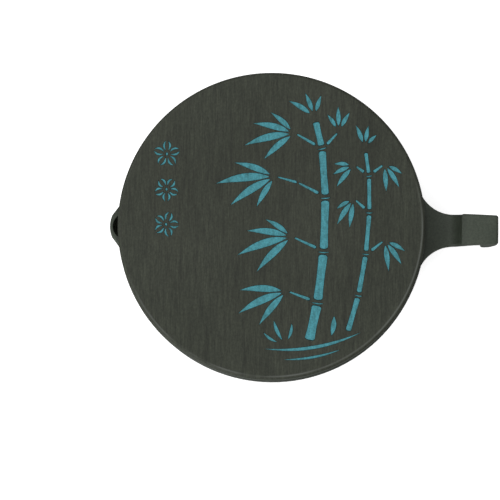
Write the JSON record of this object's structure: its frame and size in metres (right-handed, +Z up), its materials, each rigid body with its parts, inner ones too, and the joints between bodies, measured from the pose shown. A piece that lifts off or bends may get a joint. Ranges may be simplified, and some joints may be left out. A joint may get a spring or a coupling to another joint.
{
  "type": "lidded inkstone",
  "caption": "Round carved stone ink dish with a sloping grinding table, an ink pool, a pouring lip, a hooked handle and a loose lid with a locating ring.",
  "frame": {"origin": "the bowl's axis, in the plane of the foot ring that the inkstone stands on", "axes": "+X along the handle, -X along the pouring lip, +Z up through the lid"},
  "size_m": [0.1225, 0.097, 0.027],
  "materials": {
    "body_slate": "smooth honed slate",
    "lid_slate": "brushed slate with painted carving"
  },
  "bodies": {
    "body": {"inkstone_body": "body_slate"},
    "lid": {"lid": "lid_slate"}
  },
  "joints": [
    {"name": "lid_lift", "type": "slide", "parent": "body", "child": "lid", "axis": [0, 0, 1], "range_m": [0, 0.05]}
  ]
}
